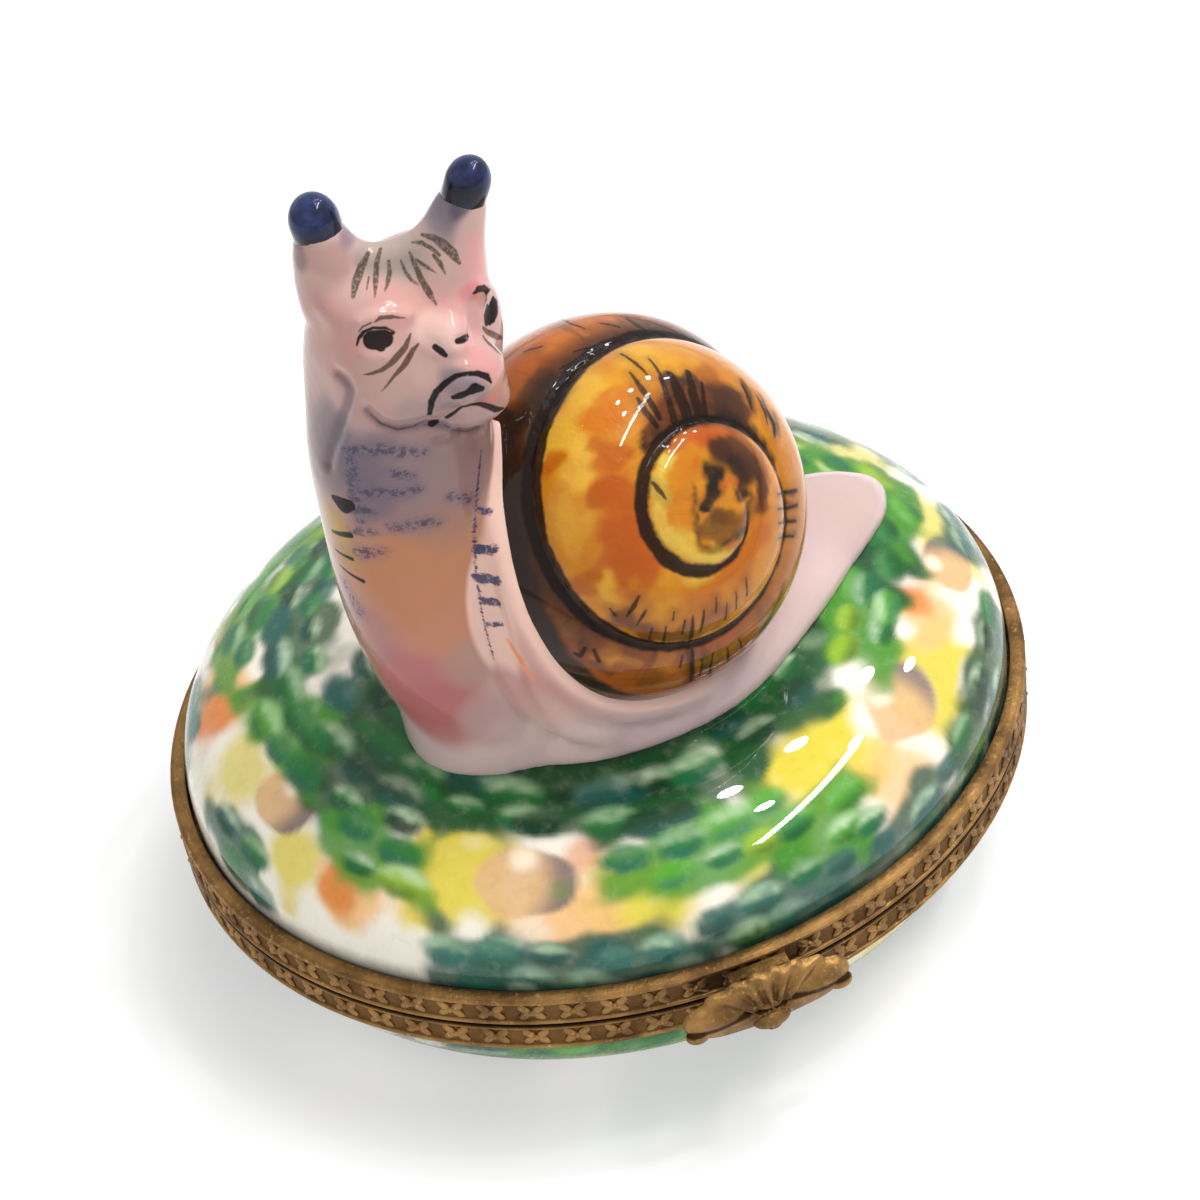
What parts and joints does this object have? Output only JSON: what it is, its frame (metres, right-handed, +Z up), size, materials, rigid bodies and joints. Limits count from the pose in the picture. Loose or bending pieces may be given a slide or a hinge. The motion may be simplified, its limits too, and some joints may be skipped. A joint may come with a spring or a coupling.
{
  "type": "hinged trinket box",
  "caption": "Oval porcelain trinket box with brass bands; the domed lid carries a snail figure, opens on a rear hinge and shuts with a sprung front clasp.",
  "frame": {"origin": "middle of the flat foot, on the surface that the box stands on", "axes": "+Z up, -Y towards the clasp, +Y towards the hinge, X along the long axis of the oval with the snail's tail towards +X"},
  "size_m": [0.0584, 0.0581, 0.0626],
  "materials": {
    "painted_porcelain": "glazed white porcelain, painted with green, yellow and peach foliage",
    "body_glaze": "glazed porcelain, painted pink and lilac",
    "shell_glaze": "glazed porcelain, painted amber with dark brown lines",
    "horn_glaze": "glazed porcelain, painted dark blue",
    "antique_brass": "aged brass, chased and slightly dull"
  },
  "bodies": {
    "base": {"base_bowl": "painted_porcelain", "base_bezel": "antique_brass", "base_collar": "antique_brass", "hinge_base_knuckle_left": "antique_brass", "hinge_base_knuckle_middle": "antique_brass", "hinge_base_knuckle_right": "antique_brass", "hinge_pin": "antique_brass", "clasp_catch": "antique_brass"},
    "lid": {"lid_dome": "painted_porcelain", "lid_bezel": "antique_brass", "snail_body": "body_glaze", "snail_shell": "shell_glaze", "snail_left_horn_tip": "horn_glaze", "snail_right_horn_tip": "horn_glaze", "hinge_lid_knuckle_left": "antique_brass", "hinge_lid_knuckle_right": "antique_brass"},
    "clasp": {"clasp_tongue": "antique_brass", "clasp_ornament": "antique_brass"}
  },
  "joints": [
    {"name": "lid_hinge", "type": "hinge", "parent": "base", "child": "lid", "pos_m": [0, 0.0276, 0.01128], "axis": [-1, 0, 0], "range_deg": [0, 105]},
    {"name": "clasp_flex", "type": "hinge", "parent": "lid", "child": "clasp", "pos_m": [0, -0.02645, 0.0132], "axis": [-1, 0, 0], "range_deg": [0, 6], "stiffness_Nm_per_rad": 0.02}
  ]
}
